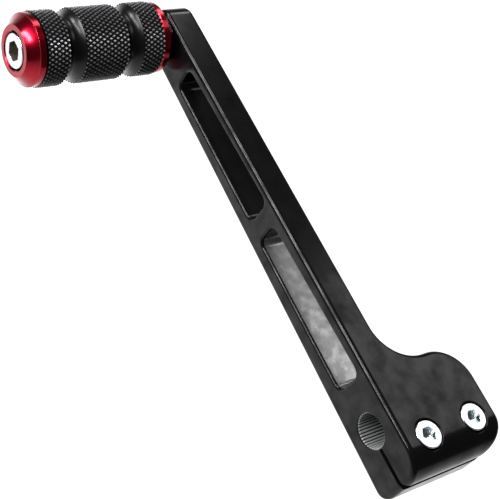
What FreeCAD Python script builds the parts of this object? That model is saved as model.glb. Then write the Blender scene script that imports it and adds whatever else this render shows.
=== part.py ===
import FreeCAD, Part
import math
import os

# Gear shift lever, millimetres. Origin on the shaft bore's axis at the outboard hub face.
# X runs from the toe peg to the pinch slot, Y from the toe side to the engine side, Z up.

# Shaft clamp
bore_root_radius = 6.35
serration_depth = 0.55
serration_count = 36
serration_land_share = 0.36
bore_mouth_flare = 0.1
bore_mouth_depth = 0.45
slot_width = 1.6
slot_mouth_round = 1.2

# Hub
hub_width = 40.7
wall_over_bore = 5.53
wall_under_bore = 5.9
hub_back_wall = 9.35
hub_nose_length = 10.85
nose_top_round = 9.5
nose_bottom_round = 4.2
nose_outboard_round = 3.0
nose_inboard_round = 8.5
hub_shoulder_round = 13.0
hub_throat_round = 14.0
edge_round = 1.8

# Arm
lever_length = 158.75
arm_thickness = 11.65
arm_tip_height = 17.73
tip_overhang = 8.7
tip_round = 6.0
peg_below_top = 8.0

# Through-windows, with the rail left above and below each at its hub end and its peg end
window_length = 58.2
window_web = 7.5
window_start = 16.5
window_corner_round = 3.0
window_edge_round = 1.1
hub_window_top_rail_hub_end = 4.33
hub_window_top_rail_peg_end = 5.48
hub_window_bottom_rail_hub_end = 7.02
hub_window_bottom_rail_peg_end = 5.8
peg_window_top_rail_hub_end = 3.01
peg_window_top_rail_peg_end = 4.21
peg_window_bottom_rail_hub_end = 6.2
peg_window_bottom_rail_peg_end = 5.02

# Pinch screws
pinch_screw_radius = 3.175
pinch_head_radius = 4.78
pinch_head_height = 6.35
pinch_hex_across = 4.76
pinch_screw_length = 15.9
pinch_washer_thickness = 1.0
pinch_head_recess = 0.1
pinch_seat_clearance = 0.4
pinch_seat_edge_round = 0.4
pinch_hole_clearance = 0.08
pinch_wall_to_bore = 0.15
pinch_first_screw = 10.5
pinch_screw_spacing = 20.5

# Toe peg
roller_radius = 13.0
roller_length = 46.1
knurl_end_band = 8.2
groove_width = 6.3
groove_depth = 2.1
roller_edge_chamfer = 0.35
cap_thickness = 5.85
cap_standoff = 1.2
cap_standoff_radius = 6.2
cap_rim_radius = 12.4
cap_rim_width = 2.5
cap_face_radius = 8.7
cap_flank_hollow = 0.15
cap_edge_round = 0.3
cap_spigot_radius = 9.2
cap_floor_thickness = 2.4
inner_spigot_length = 3.6
sleeve_radius = 6.35
sleeve_seat_depth = 1.6
peg_bolt_radius = 3.97
peg_head_radius = 5.95
peg_head_height = 7.94
peg_hex_across = 6.35
peg_head_recess = 0.0
peg_head_clearance = 0.6
peg_head_seat_chamfer = 0.4
peg_hole_clearance = 0.15
peg_washer_thickness = 1.2
peg_bolt_end_recess = 0.8
bush_wall = 1.59
bush_length = 12.7
roller_shoulder = 0.8
thrust_washer_thickness = 1.0
o_ring_section = 1.5
o_ring_groove_slack = 0.4
insert_wall = 1.3

# Fits
running_clearance = 0.04
end_float = 0.3
seal_clearance = 0.05
spigot_clearance = 0.35
seat_clearance = 0.03

# Sizes that follow from the ones above
bore_crest_radius = bore_root_radius - serration_depth
top_height = bore_root_radius + wall_over_bore
bottom_height = -(bore_root_radius + wall_under_bore)
hub_back = -(bore_root_radius + hub_back_wall)
pinch_hole_radius = pinch_screw_radius + pinch_hole_clearance
pinch_screw_x = bore_root_radius + pinch_wall_to_bore + pinch_hole_radius
hub_nose = pinch_screw_x + hub_nose_length
peg_x = -lever_length
peg_height = top_height - peg_below_top
pinch_seat_radius = pinch_head_radius + pinch_seat_clearance
pinch_head_top = top_height - pinch_head_recess
pinch_head_seat = pinch_head_top - pinch_head_height
roller_start = cap_standoff + cap_thickness + end_float
roller_end = roller_start + roller_length - 2 * end_float
peg_end = roller_end + end_float + cap_thickness
peg_head_seat = peg_end - peg_head_recess - peg_head_height
outer_spigot_end = peg_head_seat - peg_washer_thickness - cap_floor_thickness
inner_spigot_end = cap_standoff + cap_thickness + inner_spigot_length
bush_radius = sleeve_radius + bush_wall
peg_hole_radius = peg_bolt_radius + peg_hole_clearance
peg_seat_radius = peg_head_radius + peg_head_clearance
peg_bolt_tip = -(arm_thickness - peg_bolt_end_recess)
insert_radius = peg_bolt_radius + insert_wall
pinch_seat_floor = pinch_head_seat - pinch_washer_thickness
bush_outer_face = outer_spigot_end - thrust_washer_thickness - end_float
bush_inner_face = inner_spigot_end + thrust_washer_thickness + end_float
o_ring_outer_radius = cap_spigot_radius + spigot_clearance - seal_clearance
o_ring_groove_radius = o_ring_outer_radius - o_ring_section
o_ring_groove_width = o_ring_section + o_ring_groove_slack

across = FreeCAD.Vector(0, 1, 0)
outward = FreeCAD.Vector(0, -1, 0)
upward = FreeCAD.Vector(0, 0, 1)


def rounded_outline(corners, place):
    """A closed wire through corners given as (u, v, radius), with tangent arcs at the rounded ones."""
    edges = []
    arcs = []
    count = len(corners)
    for i in range(count):
        u, v, radius = corners[i]
        here = FreeCAD.Vector(u, v, 0)
        before = FreeCAD.Vector(corners[i - 1][0], corners[i - 1][1], 0) - here
        after = FreeCAD.Vector(corners[(i + 1) % count][0], corners[(i + 1) % count][1], 0) - here
        before.normalize()
        after.normalize()
        if radius == 0:
            arcs.append((here, None, here))
            continue
        half_angle = before.getAngle(after) / 2
        reach = radius / math.tan(half_angle)
        middle = before + after
        middle.normalize()
        crown = here + middle * (radius / math.sin(half_angle) - radius)
        arcs.append((here + before * reach, crown, here + after * reach))
    for i in range(count):
        start, crown, end = arcs[i]
        following = arcs[(i + 1) % count][0]
        if crown is not None:
            edges.append(Part.Arc(place(start), place(crown), place(end)).toShape())
        if (following - end).Length > 1e-6:
            edges.append(Part.LineSegment(place(end), place(following)).toShape())
    return Part.Wire(Part.__sortEdges__(edges))


def prism(corners, place, sweep):
    """A rounded outline swept along a vector."""
    return Part.Face(rounded_outline(corners, place)).extrude(sweep)


def seen_from_side(y):
    return lambda p: FreeCAD.Vector(p.x, y, p.y)


def seen_from_above(z):
    return lambda p: FreeCAD.Vector(p.x, p.y, z)


def sharp_edges(solid, least_angle):
    """The edges where two faces meet at more than the given angle in degrees, anywhere along them."""
    found = []
    for edge in solid.Edges:
        faces = solid.ancestorsOfType(edge, Part.Face)
        if len(faces) != 2:
            continue
        widest = 0.0
        for share in (0.02, 0.5, 0.98):
            span = edge.LastParameter - edge.FirstParameter
            point = edge.valueAt(edge.FirstParameter + share * span)
            normals = [face.normalAt(*face.Surface.parameter(point)) for face in faces]
            widest = max(widest, math.degrees(normals[0].getAngle(normals[1])))
        if widest > least_angle:
            found.append(edge)
    return found


def bottom_at(x):
    """Height of the tapered underside, a straight line from under the bore to under the peg."""
    tip_bottom = top_height - arm_tip_height
    return bottom_height + (tip_bottom - bottom_height) * x / peg_x


def billet():
    """The lever before any hole is cut: its side view and its plan view crossed, with rounded edges."""
    tip_x = peg_x - tip_overhang
    nose_bottom = bottom_at(hub_nose)
    side = [
        (tip_x, top_height, tip_round),
        (hub_nose, top_height, nose_top_round),
        (hub_nose, nose_bottom, nose_bottom_round),
        (tip_x, bottom_at(tip_x), tip_round),
    ]
    past_tip = tip_x - 10
    overrun = 0.049
    rounds = hub_throat_round + hub_shoulder_round
    step = hub_width - arm_thickness
    climb = math.acos(max(0.0, 1 - step / (1.02 * rounds)))
    throat_x = hub_back - step / math.tan(climb)
    plan = [
        (past_tip, 0, 0),
        (hub_nose + overrun * nose_outboard_round, 0, nose_outboard_round),
        (hub_nose + overrun * nose_inboard_round, hub_width, nose_inboard_round),
        (hub_back, hub_width, hub_shoulder_round),
        (throat_x, arm_thickness, hub_throat_round),
        (past_tip, arm_thickness, 0),
    ]
    long_way = prism(side, seen_from_side(-1), across * (hub_width + 2))
    down = nose_bottom - 5
    plan_way = prism(plan, seen_from_above(down), upward * (top_height - down + 5))
    crossed = long_way.common(plan_way).removeSplitter()
    crossed = crossed.Solids[0]
    return crossed.makeFillet(edge_round, sharp_edges(crossed, 10))


def window(start, top_rails, bottom_rails):
    """Cutter for one window. Each pair of rails is the wall left at its hub end and its peg end."""
    hub_x = -start
    far_x = -(start + window_length)
    corners = [
        (far_x, top_height - top_rails[1], window_corner_round),
        (hub_x, top_height - top_rails[0], window_corner_round),
        (hub_x, bottom_at(hub_x) + bottom_rails[0], window_corner_round),
        (far_x, bottom_at(far_x) + bottom_rails[1], window_corner_round),
    ]
    return prism(corners, seen_from_side(-5), across * (hub_width + 10))


def serrated_bore():
    """Cutter for the shaft bore: a toothed prism with lead-in cones at both mouths."""
    pitch = 2 * math.pi / serration_count
    half_land = pitch * serration_land_share / 2
    edges = []

    def at(radius, angle):
        return FreeCAD.Vector(radius * math.cos(angle), -2, radius * math.sin(angle))

    for i in range(serration_count):
        middle = i * pitch
        land_start = at(bore_crest_radius, middle - half_land)
        land_middle = at(bore_crest_radius, middle)
        land_end = at(bore_crest_radius, middle + half_land)
        root = at(bore_root_radius, middle + pitch / 2)
        next_land = at(bore_crest_radius, middle + pitch - half_land)
        edges.append(Part.Arc(land_start, land_middle, land_end).toShape())
        edges.append(Part.LineSegment(land_end, root).toShape())
        edges.append(Part.LineSegment(root, next_land).toShape())
    teeth = Part.Face(Part.Wire(edges)).extrude(across * (hub_width + 4))
    mouth_radius = bore_root_radius + bore_mouth_flare
    depth = bore_mouth_depth
    widest = mouth_radius + (mouth_radius - bore_crest_radius)
    outboard = Part.makeCone(widest, bore_crest_radius, 2 * depth, outward * depth, across)
    inboard_start = across * (hub_width + depth)
    inboard = Part.makeCone(widest, bore_crest_radius, 2 * depth, inboard_start, outward)
    return [teeth, outboard, inboard]


def slot():
    """Cutter for the pinch slot, with its mouth flared by two small rounds."""
    half = slot_width / 2
    mouth = hub_nose + 1
    corners = [
        (0, half, 0),
        (hub_nose - slot_mouth_round, half, 0),
        (hub_nose, half + slot_mouth_round * 0.7, 0),
        (mouth, half + slot_mouth_round * 0.7 + 1, 0),
        (mouth, -half - slot_mouth_round * 0.7 - 1, 0),
        (hub_nose, -half - slot_mouth_round * 0.7, 0),
        (hub_nose - slot_mouth_round, -half, 0),
        (0, -half, 0),
    ]
    return prism(corners, seen_from_side(-2), across * (hub_width + 4))


def pinch_places():
    return [pinch_first_screw, pinch_first_screw + pinch_screw_spacing]


def window_rims(arm, start):
    """The edges where one window meets the arm's two faces."""
    rims = []
    for edge in arm.Edges:
        box = edge.BoundBox
        middle = edge.CenterOfMass
        if box.YMax - box.YMin > 1e-3:
            continue
        if min(abs(middle.y), abs(middle.y - arm_thickness)) > 1e-3:
            continue
        if not -(start + window_length) - 1e-3 < middle.x < -start + 1e-3:
            continue
        if bottom_at(middle.x) + edge_round + 0.1 < middle.z < top_height - edge_round - 0.1:
            rims.append(edge)
    return rims


def seat_rims(arm):
    """The edges where the two screw seats break through the top of the hub."""
    rims = []
    for edge in arm.Edges:
        middle = edge.CenterOfMass
        if middle.z < top_height - 2:
            continue
        ends = [edge.valueAt(edge.FirstParameter), edge.valueAt(edge.LastParameter)]
        for y in pinch_places():
            gaps = [math.hypot(end.x - pinch_screw_x, end.y - y) for end in ends]
            if max(gaps) < pinch_seat_radius + 1e-3 and min(gaps) > pinch_seat_radius - 1e-3:
                rims.append(edge)
    return rims


def make_arm():
    arm = billet()
    cutters = serrated_bore()
    cutters.append(slot())
    peg_axis_start = FreeCAD.Vector(peg_x, -1, peg_height)
    insert_hole = Part.makeCylinder(insert_radius, arm_thickness + 2, peg_axis_start, across)
    cutters.append(insert_hole)
    for y in pinch_places():
        seat = FreeCAD.Vector(pinch_screw_x, y, pinch_seat_floor)
        cutters.append(Part.makeCylinder(pinch_seat_radius, top_height - seat.z + 1, seat, upward))
        middle = FreeCAD.Vector(pinch_screw_x, y, 0)
        cutters.append(Part.makeCylinder(pinch_hole_radius, seat.z + 0.1, middle, upward))
        bottom = FreeCAD.Vector(pinch_screw_x, y, bottom_at(pinch_screw_x) - 1)
        cutters.append(Part.makeCylinder(pinch_screw_radius, -bottom.z, bottom, upward))
    second_start = window_start + window_length + window_web
    hub_window_top = (hub_window_top_rail_hub_end, hub_window_top_rail_peg_end)
    hub_window_bottom = (hub_window_bottom_rail_hub_end, hub_window_bottom_rail_peg_end)
    peg_window_top = (peg_window_top_rail_hub_end, peg_window_top_rail_peg_end)
    peg_window_bottom = (peg_window_bottom_rail_hub_end, peg_window_bottom_rail_peg_end)
    cutters.append(window(window_start, hub_window_top, hub_window_bottom))
    cutters.append(window(second_start, peg_window_top, peg_window_bottom))
    arm = arm.cut(cutters).Solids[0]
    rims = window_rims(arm, window_start) + window_rims(arm, second_start)
    arm = arm.makeFillet(window_edge_round, rims).Solids[0]
    return arm.makeFillet(pinch_seat_edge_round, seat_rims(arm)).Solids[0]


def turned(profile, centre, direction):
    """A solid of revolution from (radius, distance along, corner radius) points about an axis."""

    def place(p):
        return centre + FreeCAD.Vector(p.x, 0, 0) + direction * p.y

    face = Part.Face(rounded_outline(profile, place))
    return face.revolve(centre, direction, 360).Solids[0]


def hexagon(across_flats, depth, centre, direction, first_flat):
    """A hexagonal prism along an axis, with one flat facing first_flat."""
    side_way = direction.cross(first_flat)
    corner_radius = across_flats / math.sqrt(3)
    points = []
    for i in range(7):
        angle = math.radians(30 + 60 * i)
        points.append(
            centre
            + first_flat * (corner_radius * math.cos(angle))
            + side_way * (corner_radius * math.sin(angle))
        )
    return Part.Face(Part.makePolygon(points)).extrude(direction * depth)


def cap_screw(head_radius, head_height, shank_radius, length, hex_across, place, direction):
    """Socket head cap screw. Its head's top centre is at place and its shank points along direction."""
    end_break = shank_radius * 0.15
    profile = [
        (0, 0, 0),
        (head_radius, 0, head_radius * 0.07),
        (head_radius, head_height, 0),
        (shank_radius, head_height, 0),
        (shank_radius, head_height + length - end_break, 0),
        (shank_radius - end_break, head_height + length, 0),
        (0, head_height + length, 0),
    ]
    flat_way = upward if abs(direction.z) < 0.5 else FreeCAD.Vector(1, 0, 0)
    screw = turned(profile, place, direction)
    socket_depth = head_height * 0.5
    socket = hexagon(hex_across, socket_depth + 1, place - direction, direction, flat_way)
    lead = Part.makeCone(hex_across / 2 + 0.08, hex_across / 2 - 0.12, 0.2, place, direction)
    return screw.cut([socket, lead]).Solids[0]


def ring(inner, outer, start, end):
    """A tube about the peg axis between two distances out from the arm's face."""
    base = FreeCAD.Vector(peg_x, -start, peg_height)
    tube = Part.makeCylinder(outer, end - start, base, outward)
    return tube.cut(Part.makeCylinder(inner, end - start, base, outward)).Solids[0]


def make_cap(face_at, way, spigot_end, standoff, seat_from):
    """End cap from its small face inwards: face, hollow flank, rim, spigot with its seal groove.

    face_at is the small face's distance from the arm and way is +1 where the roller lies further out.
    standoff is a plain boss on the small face. seat_from is the bolt head seat's depth, or 0 for none.
    """

    def along(depth):
        return FreeCAD.Vector(0, -(face_at + way * depth), 0)

    def point(radius, depth):
        return FreeCAD.Vector(peg_x + radius, 0, peg_height) + along(depth)

    spigot_depth = abs(spigot_end - face_at)
    flank_start = point(cap_face_radius, 0)
    flank_end = point(cap_rim_radius - cap_edge_round, cap_thickness - cap_rim_width)
    flank_way = flank_end - flank_start
    inward = FreeCAD.Vector(-abs(flank_way.y), -way * abs(flank_way.x), 0)
    inward.normalize()
    flank_middle = (flank_start + flank_end) * 0.5 + inward * cap_flank_hollow
    rim_crown = point(
        cap_rim_radius - cap_edge_round * (1 - math.sqrt(0.5)),
        cap_thickness - cap_rim_width + cap_edge_round * (1 - math.sqrt(0.5)),
    )
    rim_start = point(cap_rim_radius, cap_thickness - cap_rim_width + cap_edge_round)
    rim_end = point(cap_rim_radius, cap_thickness - cap_edge_round)
    rim_corner = point(cap_rim_radius - cap_edge_round, cap_thickness)
    groove_middle = cap_thickness + (spigot_depth - cap_thickness) / 2
    groove = (groove_middle - o_ring_groove_width / 2, groove_middle + o_ring_groove_width / 2)
    line = [
        rim_corner,
        point(cap_spigot_radius, cap_thickness),
        point(cap_spigot_radius, groove[0]),
        point(o_ring_groove_radius, groove[0]),
        point(o_ring_groove_radius, groove[1]),
        point(cap_spigot_radius, groove[1]),
        point(cap_spigot_radius, spigot_depth),
        point(sleeve_radius + seat_clearance, spigot_depth),
        point(sleeve_radius + seat_clearance, spigot_depth - sleeve_seat_depth),
        point(peg_hole_radius, spigot_depth - sleeve_seat_depth),
    ]
    if seat_from > 0:
        line += [
            point(peg_hole_radius, seat_from),
            point(peg_seat_radius, seat_from),
            point(peg_seat_radius, peg_head_seat_chamfer),
            point(peg_seat_radius + peg_head_seat_chamfer, 0),
        ]
    else:
        line += [
            point(peg_hole_radius, -standoff),
            point(cap_standoff_radius, -standoff),
            point(cap_standoff_radius, 0),
        ]
    line.append(flank_start)
    edges = [
        Part.Arc(flank_start, flank_middle, flank_end).toShape(),
        Part.Arc(flank_end, rim_crown, rim_start).toShape(),
        Part.LineSegment(rim_start, rim_end).toShape(),
        Part.LineSegment(rim_end, rim_corner).toShape(),
    ]
    for i in range(len(line) - 1):
        edges.append(Part.LineSegment(line[i], line[i + 1]).toShape())
    face = Part.Face(Part.Wire(edges))
    centre = FreeCAD.Vector(peg_x, 0, peg_height)
    return face.revolve(centre, outward, 360).Solids[0]


def make_roller():
    """Roller with two hollow grooves, a stepped bore for its bushes and a recess at each end."""

    def point(radius, out):
        return FreeCAD.Vector(peg_x + radius, -out, peg_height)

    first_groove = roller_start + knurl_end_band
    second_groove = roller_end - knurl_end_band - groove_width
    recess_radius = cap_spigot_radius + spigot_clearance
    stops = (bush_inner_face + bush_length, bush_outer_face - bush_length)
    rim = roller_radius
    cut = roller_edge_chamfer
    line = [
        (rim - cut, roller_start),
        (rim, roller_start + cut),
        (rim, first_groove),
        (rim, first_groove + groove_width),
        (rim, second_groove),
        (rim, second_groove + groove_width),
        (rim, roller_end - cut),
        (rim - cut, roller_end),
        (recess_radius, roller_end),
        (recess_radius, bush_outer_face),
        (bush_radius, bush_outer_face),
        (bush_radius, stops[1]),
        (bush_radius - roller_shoulder, stops[1]),
        (bush_radius - roller_shoulder, stops[0]),
        (bush_radius, stops[0]),
        (bush_radius, bush_inner_face),
        (recess_radius, bush_inner_face),
        (recess_radius, roller_start),
        (rim - cut, roller_start),
    ]
    edges = []
    for i in range(len(line) - 1):
        start = point(*line[i])
        end = point(*line[i + 1])
        if i in (2, 4):
            middle = (start + end) * 0.5 - FreeCAD.Vector(groove_depth, 0, 0)
            edges.append(Part.Arc(start, middle, end).toShape())
        else:
            edges.append(Part.LineSegment(start, end).toShape())
    face = Part.Face(Part.Wire(edges))
    centre = FreeCAD.Vector(peg_x, 0, peg_height)
    return face.revolve(centre, outward, 360).Solids[0]


def o_ring(spigot_end, way):
    """Seal ring in the groove of the cap whose spigot ends at the given distance."""
    flange_face = roller_start - end_float if way > 0 else roller_end + end_float
    middle = (flange_face + spigot_end) / 2
    centre = FreeCAD.Vector(peg_x, -middle, peg_height)
    section = o_ring_section / 2
    return Part.makeTorus(o_ring_groove_radius + section, section, centre, outward)


pieces = {"lever_arm": make_arm()}
for name, y in zip(("outer", "inner"), pinch_places()):
    head_top = FreeCAD.Vector(pinch_screw_x, y, pinch_head_top)
    pieces["pinch_screw_" + name] = cap_screw(
        pinch_head_radius,
        pinch_head_height,
        pinch_screw_radius,
        pinch_screw_length,
        pinch_hex_across,
        head_top,
        upward * -1,
    )
    washer_base = FreeCAD.Vector(pinch_screw_x, y, pinch_seat_floor)
    washer = Part.makeCylinder(pinch_head_radius, pinch_washer_thickness, washer_base, upward)
    hole = Part.makeCylinder(pinch_hole_radius, pinch_washer_thickness, washer_base, upward)
    pieces["pinch_washer_" + name] = washer.cut(hole).Solids[0]

peg_head_top = FreeCAD.Vector(peg_x, -(peg_end - peg_head_recess), peg_height)
peg_bolt_length = peg_head_seat - peg_bolt_tip
pieces["peg_bolt"] = cap_screw(
    peg_head_radius,
    peg_head_height,
    peg_bolt_radius,
    peg_bolt_length,
    peg_hex_across,
    peg_head_top,
    across,
)
washer_start = peg_head_seat - peg_washer_thickness
pieces["peg_bolt_washer"] = ring(peg_hole_radius, peg_head_radius, washer_start, peg_head_seat)
pieces["outer_cap"] = make_cap(peg_end, -1, outer_spigot_end, 0, peg_end - washer_start)
pieces["inner_cap"] = make_cap(cap_standoff, 1, inner_spigot_end, cap_standoff, 0)
pieces["knurled_roller"] = make_roller()
pieces["spindle_sleeve"] = ring(
    peg_hole_radius,
    sleeve_radius,
    inner_spigot_end - sleeve_seat_depth,
    outer_spigot_end + sleeve_seat_depth,
)
bush_hole = sleeve_radius + running_clearance
inner_bush_end = bush_inner_face + bush_length
outer_bush_start = bush_outer_face - bush_length
pieces["inner_bush"] = ring(bush_hole, bush_radius, bush_inner_face, inner_bush_end)
pieces["outer_bush"] = ring(bush_hole, bush_radius, outer_bush_start, bush_outer_face)
inner_washer_end = inner_spigot_end + thrust_washer_thickness
outer_washer_start = outer_spigot_end - thrust_washer_thickness
pieces["inner_thrust_washer"] = ring(
    bush_hole, cap_spigot_radius, inner_spigot_end, inner_washer_end
)
pieces["outer_thrust_washer"] = ring(
    bush_hole, cap_spigot_radius, outer_washer_start, outer_spigot_end
)
pieces["inner_o_ring"] = o_ring(inner_spigot_end, 1)
pieces["outer_o_ring"] = o_ring(outer_spigot_end, -1)
pieces["peg_thread_insert"] = ring(peg_bolt_radius, insert_radius, -arm_thickness, 0)

os.makedirs("parts", exist_ok=True)
for name, solid in pieces.items():
    solid.exportStep(f"parts/{name}.step")
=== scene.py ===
import bpy
import bmesh
import math
from mathutils import Matrix, Vector


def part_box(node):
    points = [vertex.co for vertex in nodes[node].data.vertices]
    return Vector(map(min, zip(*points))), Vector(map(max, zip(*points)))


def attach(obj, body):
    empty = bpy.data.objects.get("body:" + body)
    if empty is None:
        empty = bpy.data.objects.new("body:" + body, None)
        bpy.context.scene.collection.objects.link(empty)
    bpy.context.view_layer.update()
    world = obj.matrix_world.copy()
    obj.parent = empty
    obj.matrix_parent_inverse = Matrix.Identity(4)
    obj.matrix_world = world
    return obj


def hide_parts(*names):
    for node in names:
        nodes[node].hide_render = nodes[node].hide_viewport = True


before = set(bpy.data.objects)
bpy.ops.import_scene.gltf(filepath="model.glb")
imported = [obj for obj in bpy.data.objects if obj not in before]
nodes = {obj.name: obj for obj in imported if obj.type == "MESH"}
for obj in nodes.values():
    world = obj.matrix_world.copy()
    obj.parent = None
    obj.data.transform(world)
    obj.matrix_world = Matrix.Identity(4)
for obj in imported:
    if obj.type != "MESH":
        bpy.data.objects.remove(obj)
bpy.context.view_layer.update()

mm = 0.001
noiseSpan = (0.3, 0.7)  # most of a noise's values lie between these
print("frame loaded:", len(nodes), "CAD nodes")


def hexToLinear(code):
    values = [int(code[i:i + 2], 16) / 255 for i in (1, 3, 5)]
    linear = [v / 12.92 if v <= 0.04045 else ((v + 0.055) / 1.055) ** 2.4 for v in values]
    return (linear[0], linear[1], linear[2], 1.0)


def addNode(material, kind, settings=None, links=None):
    # settings hold a node property or an input socket and its value, links an input socket and (node, output)
    node = material.node_tree.nodes.new(kind)
    for key, value in (settings or {}).items():
        if isinstance(key, str) and key not in node.inputs:
            setattr(node, key, value)
        else:
            node.inputs[key].default_value = value
    for key, (source, output) in (links or {}).items():
        material.node_tree.links.new(source.outputs[output], node.inputs[key])
    return node


def newMaterial(name):
    material = bpy.data.materials.new(name)
    material.use_nodes = True
    material.node_tree.nodes.clear()
    return material


def closeMaterial(material, settings, links):
    shader = addNode(material, "ShaderNodeBsdfPrincipled", settings, links)
    addNode(material, "ShaderNodeOutputMaterial", links={"Surface": (shader, "BSDF")})
    return material


armFinish = {
    "dye": "#030303",
    "fadedDye": "#0e0e10",
    "metallic": 0.0,
    "specular": (0.09, 0.22),
    "roughness": (0.13, 0.24),
    "cloudSize": 7 * mm,  # soft patches in the dye
    "shineSpan": (0.35, 0.65),  # noise values between which the reflection changes
    "grainSize": 0.5 * mm,  # blasted texture, drawn coarser than the real 0.1 mm so that it shows
    "grainHeight": 0.0004 * mm,
    "toothColor": "#9c9e9e",
    "toothMetallic": 0.5,
    "toothRoughness": 0.4,
    "toothRadius": (5.9 * mm, 6.2 * mm),  # the crests are bare and the roots stay black
}


def makeArmMaterial():
    # black anodised aluminium: nearly black, with a smooth glassy layer that takes soft reflections
    material = newMaterial("blackAnodisedAluminium")
    place = addNode(material, "ShaderNodeTexCoord")
    cloud = addNode(material, "ShaderNodeTexNoise", {"Scale": 1 / armFinish["cloudSize"], "Detail": 4.0},
                    {"Vector": (place, "Object")})
    grain = addNode(material, "ShaderNodeTexNoise", {"Scale": 1 / armFinish["grainSize"], "Detail": 2.0},
                    {"Vector": (place, "Object")})
    dye = addNode(material, "ShaderNodeMix",
                  {"data_type": "RGBA", 6: hexToLinear(armFinish["dye"]), 7: hexToLinear(armFinish["fadedDye"])},
                  {0: (cloud, "Fac")})
    satin = addNode(material, "ShaderNodeMapRange",
                    {"From Min": noiseSpan[0], "From Max": noiseSpan[1],
                     "To Min": armFinish["roughness"][0], "To Max": armFinish["roughness"][1]},
                    {"Value": (cloud, "Fac")})
    # the broached teeth are bare metal, found by their distance from the bore's axis
    split = addNode(material, "ShaderNodeSeparateXYZ", links={"Vector": (place, "Object")})
    flat = addNode(material, "ShaderNodeCombineXYZ", links={"X": (split, "X"), "Z": (split, "Z")})
    reach = addNode(material, "ShaderNodeVectorMath", {"operation": "LENGTH"}, {0: (flat, "Vector")})
    bare = addNode(material, "ShaderNodeMapRange",
                   {"From Min": armFinish["toothRadius"][0], "From Max": armFinish["toothRadius"][1],
                    "To Min": 1.0, "To Max": 0.0},
                   {"Value": (reach, "Value")})
    color = addNode(material, "ShaderNodeMix", {"data_type": "RGBA", 7: hexToLinear(armFinish["toothColor"])},
                    {0: (bare, "Result"), 6: (dye, 2)})
    metallic = addNode(material, "ShaderNodeMapRange",
                       {"To Min": armFinish["metallic"], "To Max": armFinish["toothMetallic"]},
                       {"Value": (bare, "Result")})
    rough = addNode(material, "ShaderNodeMix", {3: armFinish["toothRoughness"]},
                    {0: (bare, "Result"), 2: (satin, "Result")})
    bump = addNode(material, "ShaderNodeBump", {"Strength": 1.0, "Distance": armFinish["grainHeight"]},
                   {"Height": (grain, "Fac")})
    # the sealed layer is uneven, so its reflections are patchy
    shine = addNode(material, "ShaderNodeMapRange",
                    {"From Min": armFinish["shineSpan"][0], "From Max": armFinish["shineSpan"][1],
                     "To Min": armFinish["specular"][1], "To Max": armFinish["specular"][0]},
                    {"Value": (cloud, "Fac")})
    return closeMaterial(material, {},
                         {"Base Color": (color, 2), "Metallic": (metallic, "Result"),
                          "Specular IOR Level": (shine, "Result"),
                          "Roughness": (rough, 0), "Normal": (bump, "Normal")})


def makeMottled(name, colors, metallic, roughness, grainSize, grainHeight):
    # a finish whose colour, gloss and height wander with one noise of the given grain size
    material = newMaterial(name)
    place = addNode(material, "ShaderNodeTexCoord")
    grain = addNode(material, "ShaderNodeTexNoise", {"Scale": 1 / grainSize, "Detail": 3.0},
                    {"Vector": (place, "Object")})
    color = addNode(material, "ShaderNodeMix",
                    {"data_type": "RGBA", 6: hexToLinear(colors[0]), 7: hexToLinear(colors[1])},
                    {0: (grain, "Fac")})
    rough = addNode(material, "ShaderNodeMapRange",
                    {"From Min": noiseSpan[0], "From Max": noiseSpan[1],
                     "To Min": roughness[0], "To Max": roughness[1]},
                    {"Value": (grain, "Fac")})
    bump = addNode(material, "ShaderNodeBump", {"Strength": 1.0, "Distance": grainHeight},
                   {"Height": (grain, "Fac")})
    return closeMaterial(material, {"Metallic": metallic},
                         {"Base Color": (color, 2), "Roughness": (rough, "Result"), "Normal": (bump, "Normal")})


def pegAxis():
    low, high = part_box("peg_bolt")
    return Vector(((low[0] + high[0]) / 2, 0, (low[2] + high[2]) / 2))


capFinish = {
    "dye": "#9e0420",
    "deepDye": "#740013",
    "roughness": (0.2, 0.28),
    "coat": 0.3,
    "coatRoughness": 0.12,
    "cloudSize": 4 * mm,  # patches where the dye went deeper
    "turningPitch": 0.35 * mm,  # lathe marks, coarser than the real 0.1 mm
}


def makeCapMaterial():
    # red anodised turned aluminium: deep crimson with a glassy layer that gives pale pink glints
    material = newMaterial("redAnodisedAluminium")
    place = addNode(material, "ShaderNodeTexCoord")
    centre = addNode(material, "ShaderNodeMapping", {"Location": -pegAxis()}, {"Vector": (place, "Object")})
    split = addNode(material, "ShaderNodeSeparateXYZ", links={"Vector": (centre, "Vector")})
    flat = addNode(material, "ShaderNodeCombineXYZ", links={"X": (split, "X"), "Z": (split, "Z")})
    reach = addNode(material, "ShaderNodeVectorMath", {"operation": "LENGTH"}, {0: (flat, "Vector")})
    # radius plus depth, so that the marks run round both the flank and the rim
    along = addNode(material, "ShaderNodeMath", {"operation": "ADD"}, {0: (reach, "Value"), 1: (split, "Y")})
    ridge = addNode(material, "ShaderNodeMath", {"operation": "PINGPONG", 1: capFinish["turningPitch"] / 2},
                    {0: (along, "Value")})
    gloss = addNode(material, "ShaderNodeMapRange",
                    {"From Max": capFinish["turningPitch"] / 2, "To Min": capFinish["roughness"][0],
                     "To Max": capFinish["roughness"][1]},
                    {"Value": (ridge, "Value")})
    cloud = addNode(material, "ShaderNodeTexNoise", {"Scale": 1 / capFinish["cloudSize"], "Detail": 2.0},
                    {"Vector": (place, "Object")})
    color = addNode(material, "ShaderNodeMix",
                    {"data_type": "RGBA", 6: hexToLinear(capFinish["dye"]), 7: hexToLinear(capFinish["deepDye"])},
                    {0: (cloud, "Fac")})
    return closeMaterial(material,
                         {"Metallic": 1.0, "Coat Weight": capFinish["coat"],
                          "Coat Roughness": capFinish["coatRoughness"]},
                         {"Base Color": (color, 2), "Roughness": (gloss, "Result")})


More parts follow.
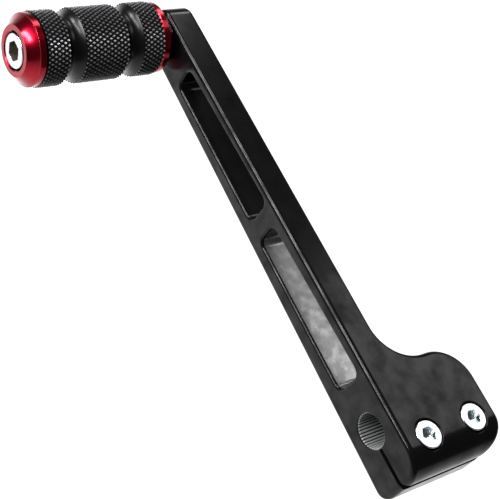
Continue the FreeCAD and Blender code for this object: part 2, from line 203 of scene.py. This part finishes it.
roller = {
    "tipRadius": 13.0 * mm,
    "tipTolerance": 0.01 * mm,
    "knurlDepth": 0.68 * mm,
    "tipFlat": 0.1 * mm,
    "diamondsRound": 48,
    "diamondLength": 2.72 * mm,
    "bandBevel": 0.18 * mm,  # bevel at each end of a knurled band
    "endBand": 8.2 * mm,  # length of the knurled band at each end
    "grooveWidth": 6.3 * mm,
    "grooveDepth": 2.3 * mm,  # below the points
    "grooveSteps": 14,
    "recess": 9.55 * mm,  # radius round a cap's spigot
    "outerRecess": 6.69 * mm,
    "innerRecess": 4.6 * mm,
    "bushLength": 12.7 * mm,
    "bore": 7.94 * mm,
    "shoulder": 7.14 * mm,
    "crease": 18,
    "dye": "#08080a",
    "tipWearAndHighlightColor": "#c6c6ca",
    "tipDepth": 0.5 * mm,  # how far down from the points the lighter colour reaches: wear where the dye is rubbed off, and a painted highlight that leaves painted shade in the valleys
    "rubSize": 1.5 * mm,  # patches of wear
    "metallic": 0.5,
    "roughness": 0.28,
}


def makeRollerMaterial():
    # black anodised knurl: the points are painted greyer, partly as wear where boots rub and partly as a painted
    # highlight, so the valleys stay dark as painted shade
    material = newMaterial("blackAnodisedKnurl")
    place = addNode(material, "ShaderNodeTexCoord")
    centre = addNode(material, "ShaderNodeMapping", {"Location": -pegAxis()}, {"Vector": (place, "Object")})
    split = addNode(material, "ShaderNodeSeparateXYZ", links={"Vector": (centre, "Vector")})
    flat = addNode(material, "ShaderNodeCombineXYZ", links={"X": (split, "X"), "Z": (split, "Z")})
    reach = addNode(material, "ShaderNodeVectorMath", {"operation": "LENGTH"}, {0: (flat, "Vector")})
    # lighter colour towards the points: wear, and a painted highlight with painted shade in the valleys
    point = addNode(material, "ShaderNodeMapRange",
                    {"From Min": roller["tipRadius"] - roller["tipDepth"], "From Max": roller["tipRadius"]},
                    {"Value": (reach, "Value")})
    rub = addNode(material, "ShaderNodeTexNoise", {"Scale": 1 / roller["rubSize"], "Detail": 3.0},
                  {"Vector": (place, "Object")})
    wearAndHighlight = addNode(material, "ShaderNodeMath", {"operation": "MULTIPLY"}, {0: (point, "Result"), 1: (rub, "Fac")})
    color = addNode(material, "ShaderNodeMix",
                    {"data_type": "RGBA", 6: hexToLinear(roller["dye"]), 7: hexToLinear(roller["tipWearAndHighlightColor"])},
                    {0: (wearAndHighlight, "Value")})
    return closeMaterial(material, {"Metallic": roller["metallic"], "Roughness": roller["roughness"]},
                         {"Base Color": (color, 2)})


def addRoller():
    low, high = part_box("knurled_roller")
    axis = pegAxis()
    start, end = -high[1], -low[1]
    tip = roller["tipRadius"]
    valley = tip - roller["knurlDepth"]
    grooveFloor = tip - roller["grooveDepth"]
    rings = []  # (radius, distance out, is this ring knurled)

    def addBand(first, last):
        inner = first + roller["bandBevel"]
        outer = last - roller["bandBevel"]
        count = 2 * round((outer - inner) / roller["diamondLength"])
        rings.append((valley, first, False))
        for i in range(count + 1):
            rings.append((tip, inner + (outer - inner) * i / count, True))
        rings.append((valley, last, False))

    def addGroove(first, last):
        for i in range(1, roller["grooveSteps"]):
            share = i / roller["grooveSteps"]
            dip = (valley - grooveFloor) * (1 - (2 * share - 1) ** 2)
            rings.append((valley - dip, first + (last - first) * share, False))

    firstGroove = start + roller["endBand"]
    secondGroove = end - roller["endBand"] - roller["grooveWidth"]
    addBand(start, firstGroove)
    addGroove(firstGroove, firstGroove + roller["grooveWidth"])
    addBand(firstGroove + roller["grooveWidth"], secondGroove)
    addGroove(secondGroove, secondGroove + roller["grooveWidth"])
    addBand(secondGroove + roller["grooveWidth"], end)
    steps = 2 * roller["diamondsRound"]
    # each end is recessed for a cap's spigot and its washer, and the bushes stop at a narrower middle
    outerSeat = end - roller["outerRecess"]
    innerSeat = start + roller["innerRecess"]
    outerStop = outerSeat - roller["bushLength"]
    innerStop = innerSeat + roller["bushLength"]
    bore = [(roller["recess"], end), (roller["recess"], outerSeat),
            (roller["bore"], outerSeat), (roller["bore"], outerStop),
            (roller["shoulder"], outerStop), (roller["shoulder"], innerStop),
            (roller["bore"], innerStop), (roller["bore"], innerSeat),
            (roller["recess"], innerSeat), (roller["recess"], start)]
    bm = bmesh.new()
    line = [bm.verts.new((axis.x + radius, -out, axis.z)) for radius, out, _ in rings]
    line += [bm.verts.new((axis.x + radius, -out, axis.z)) for radius, out in bore]
    edges = [bm.edges.new((line[i], line[(i + 1) % len(line)])) for i in range(len(line))]
    bmesh.ops.spin(bm, geom=line + edges, cent=axis, axis=(0, -1, 0), angle=2 * math.pi, steps=steps,
                   use_merge=True, use_duplicate=False)
    knurled = {round(out / mm, 3): index for index, (radius, out, cut) in enumerate(rings) if cut}
    # every second point of the spun grid is pushed in, so that each quad holds one valley along its diagonal
    for vert in bm.verts:
        index = knurled.get(round(-vert.co.y / mm, 3))
        outward = Vector((vert.co.x - axis.x, 0, vert.co.z - axis.z))
        if index is None or outward.length < valley:
            continue
        turn = round(math.atan2(outward.z, outward.x) / (2 * math.pi) * steps)
        if (turn + index) % 2 == 0:
            vert.co -= outward.normalized() * roller["knurlDepth"]
    bmesh.ops.recalc_face_normals(bm, faces=bm.faces)
    bmesh.ops.triangulate(bm, faces=bm.faces, quad_method="SHORT_EDGE")
    tips = [vert for vert in bm.verts
            if math.hypot(vert.co.x - axis.x, vert.co.z - axis.z) > tip - roller["tipTolerance"]]
    bmesh.ops.bevel(bm, geom=tips, offset=roller["tipFlat"], offset_type="OFFSET", segments=1, profile=0.5,
                    affect="VERTICES", material=-1)
    for face in bm.faces:
        face.smooth = True
    for edge in bm.edges:
        edge.smooth = edge.calc_face_angle(math.pi) < math.radians(roller["crease"])
    addPiece(bm, "knurledRoller", "knurled_roller", "roller")


armMaterial = makeArmMaterial()
capMaterial = makeCapMaterial()
rollerMaterial = makeRollerMaterial()
# bright zinc plate: pale and mirror-like with a faint unevenness
zincMaterial = makeMottled("brightZincPlate", ("#d6dbdd", "#b9bfc2"), 1.0, (0.16, 0.26), 1.2 * mm, 0.004 * mm)
# ground and stainless steels: greyer, with a finer and rougher grain
groundMaterial = makeMottled("groundSteel", ("#b4b6b8", "#98999b"), 1.0, (0.24, 0.36), 0.8 * mm, 0.004 * mm)
stainlessMaterial = makeMottled("stainlessInsert", ("#a5a5a2", "#8a8a88"), 1.0, (0.3, 0.42), 0.9 * mm, 0.005 * mm)
# oil-filled sintered bronze: brown, open-grained and dull
bronzeMaterial = makeMottled("sinteredBronze", ("#9a6a35", "#6f4a24"), 1.0, (0.42, 0.6), 0.5 * mm, 0.02 * mm)
# black acetal: waxy plastic with a soft sheen
acetalMaterial = makeMottled("blackAcetal", ("#121213", "#1b1b1c"), 0.0, (0.4, 0.5), 2.0 * mm, 0.004 * mm)
# moulded nitrile: matt black rubber with a slight bloom
nitrileMaterial = makeMottled("nitrileRubber", ("#0d0d0d", "#1a1a1a"), 0.0, (0.6, 0.75), 0.7 * mm, 0.01 * mm)
# walls left by the end mill: the same black over fine cutter marks, so greyer and less glassy
milledMaterial = makeMottled("milledBlackAluminium", ("#949494", "#646464"), 0.95, (0.24, 0.38), 3.0 * mm, 0.001 * mm)
# hexagon inside the peg bolt: dark warm grey, partly oil and partly painted shade in the socket
oilAndShadeMaterial = makeMottled("oiledAndShadedSocket", ("#8f8d80", "#6c6a5e"), 0.9, (0.3, 0.45), 0.8 * mm, 0.006 * mm)
finishes = {
    "lever_arm": armMaterial,
    "knurled_roller": rollerMaterial,
    "outer_cap": capMaterial,
    "inner_cap": capMaterial,
    "spindle_sleeve": groundMaterial,
    "peg_thread_insert": stainlessMaterial,
    "outer_bush": bronzeMaterial,
    "inner_bush": bronzeMaterial,
    "outer_thrust_washer": acetalMaterial,
    "inner_thrust_washer": acetalMaterial,
    "outer_o_ring": nitrileMaterial,
    "inner_o_ring": nitrileMaterial,
}
for name, node in nodes.items():
    node.data.materials.clear()
    node.data.materials.append(finishes.get(name, zincMaterial))
print("materials assigned")


def addPiece(bm, name, node, body):
    mesh = bpy.data.meshes.new(name)
    bm.to_mesh(mesh)
    bm.free()
    piece = bpy.data.objects.new(name, mesh)
    bpy.context.scene.collection.objects.link(piece)
    mesh.materials.append(finishes.get(node, zincMaterial))
    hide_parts(node)
    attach(piece, body)
    return piece


copied = {
    "crease": 32,
    "weld": 0.003 * mm,
    "flat": 0.3,  # degrees within which two faces count as one
    "normalWeight": 50,
    "windowAcross": (1.3 * mm, 10.3 * mm),  # inside the arm's thickness
    "windowAlong": (-0.076, -0.0155),
    "windowUp": (-7.6 * mm, 9.6 * mm),
    "socketReach": 3.7 * mm,
    "socketDepth": (0.5 * mm, 4.5 * mm),
    "pieces": {
        "lever_arm": "leverArm",
        "outer_cap": "outerCap",
        "inner_cap": "innerCap",
        "pinch_screw_outer": "pinchScrewOuter",
        "pinch_screw_inner": "pinchScrewInner",
        "peg_bolt": "pegBolt",
    },
}


def inWindow(centre):
    # a face on the hub window's walls
    spans = (copied["windowAlong"], copied["windowAcross"], copied["windowUp"])
    return all(low < value < high for value, (low, high) in zip(centre, spans))


pegCentre = pegAxis()
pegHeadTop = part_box("peg_bolt")[0][1]


def inSocket(centre):
    # a face inside the hexagon of the peg bolt's head
    reach = math.hypot(centre.x - pegCentre.x, centre.z - pegCentre.z)
    low, high = copied["socketDepth"]
    return reach < copied["socketReach"] and low < centre.y - pegHeadTop < high


def addSmoothCopy(node, name):
    # the CAD node's triangles are loose, so the copy is merged before it is shaded smooth
    bm = bmesh.new()
    bm.from_mesh(nodes[node].data)
    bmesh.ops.remove_doubles(bm, verts=bm.verts, dist=copied["weld"])
    bmesh.ops.dissolve_limit(bm, angle_limit=math.radians(copied["flat"]), verts=bm.verts, edges=bm.edges)
    for face in bm.faces:
        face.smooth = True
    for edge in bm.edges:
        edge.smooth = edge.calc_face_angle(math.pi) < math.radians(copied["crease"])
    openEdges = sum(1 for edge in bm.edges if len(edge.link_faces) != 2)
    print("copy of", node, "has", len(bm.faces), "faces and", openEdges, "open edges")
    if node in accents:
        inside, material = accents[node]
        for face in bm.faces:
            face.material_index = int(inside(face.calc_center_median()))
    piece = addPiece(bm, name, node, "lever")
    if node in accents:
        piece.data.materials.append(material)
    weighted = piece.modifiers.new("flatFacesStayFlat", "WEIGHTED_NORMAL")
    weighted.keep_sharp = True
    weighted.weight = copied["normalWeight"]


# the peg bolt's socket faces get the darker grey of oil and painted shade
accents = {"lever_arm": (inWindow, milledMaterial), "peg_bolt": (inSocket, oilAndShadeMaterial)}
for node, name in copied["pieces"].items():
    addSmoothCopy(node, name)
print("smooth copies made")


addRoller()
print("knurled roller made")


studio = {
    "floorDrop": 0.35,
    "floorHalfSize": 5.0,
    "floorColor": "#d0d0d0",
    "floorRoughness": 0.9,
    "floorGlow": 0.5,
    "world": 0.1,
    "sensor": 36,
    "lens": 87.57,
    "clip": (0.01, 20),
    "cameraPlace": (0.0644, -0.2459, 0.2960),
    "cameraRight": (0.448, 0.785, 0.427),
    "cameraBack": (0.336, -0.590, 0.734),
    "lights": {  # name: (position, target, width, height, watts)
        "topCardHub": ((-0.22, 0.85, 0.9), (-0.03, 0.0, 0.0), 0.4, 0.6, 2.0),
        "topCardTip": ((-1.15, 0.8, 0.9), (-0.17, 0.0, 0.0), 0.34, 0.6, 4.0),
        "outboardStripLow": ((-0.48, -0.85, 0.62), (-0.1, 0.0, 0.0), 0.7, 0.14, 14.0),
        "outboardStripHigh": ((-0.5, -0.5, 0.95), (-0.1, 0.0, 0.0), 0.7, 0.12, 9.0),
        "tipSoftbox": ((-0.95, -0.25, 0.75), (-0.16, -0.03, 0.0), 0.3, 0.3, 8.0),
    },
}


def addLight(name, location, target, sizeX, sizeY, power):
    data = bpy.data.lights.new(name, "AREA")
    data.shape = "RECTANGLE"
    data.size = sizeX
    data.size_y = sizeY
    data.energy = power
    light = bpy.data.objects.new(name, data)
    light.location = location
    light.rotation_euler = (Vector(target) - Vector(location)).to_track_quat("-Z", "Y").to_euler()
    bpy.context.scene.collection.objects.link(light)


def addFloor():
    bm = bmesh.new()
    bmesh.ops.create_grid(bm, x_segments=1, y_segments=1, size=studio["floorHalfSize"])
    bmesh.ops.translate(bm, verts=bm.verts, vec=(0, 0, -studio["floorDrop"]))
    mesh = bpy.data.meshes.new("studioFloor")
    bm.to_mesh(mesh)
    bm.free()
    floor = bpy.data.objects.new("studioFloor", mesh)
    material = newMaterial("paleFloor")
    # plain paper: matt and slightly glowing, so that it stays white
    mesh.materials.append(closeMaterial(material, {
        "Base Color": hexToLinear(studio["floorColor"]), "Roughness": studio["floorRoughness"],
        "Emission Color": hexToLinear("#ffffff"), "Emission Strength": studio["floorGlow"]}, {}))
    bpy.context.scene.collection.objects.link(floor)


def addCamera():
    data = bpy.data.cameras.new("viewCamera")
    data.sensor_width = studio["sensor"]
    data.lens = studio["lens"]
    data.clip_start, data.clip_end = studio["clip"]
    camera = bpy.data.objects.new("viewCamera", data)
    right = Vector(studio["cameraRight"]).normalized()
    back = Vector(studio["cameraBack"]).normalized()
    up = back.cross(right).normalized()
    right = up.cross(back)
    turn = Matrix((right, up, back)).transposed()
    camera.matrix_world = Matrix.Translation(studio["cameraPlace"]) @ turn.to_4x4()
    bpy.context.scene.collection.objects.link(camera)
    bpy.context.scene.camera = camera


addFloor()
addCamera()
for name, values in studio["lights"].items():
    addLight(name, *values)
world = bpy.data.worlds.new("studioWorld")
world.use_nodes = True
world.node_tree.nodes["Background"].inputs["Color"].default_value = (1, 1, 1, 1)
world.node_tree.nodes["Background"].inputs["Strength"].default_value = studio["world"]
bpy.context.scene.world = world
bpy.context.scene.view_settings.view_transform = "Standard"
print("studio ready")
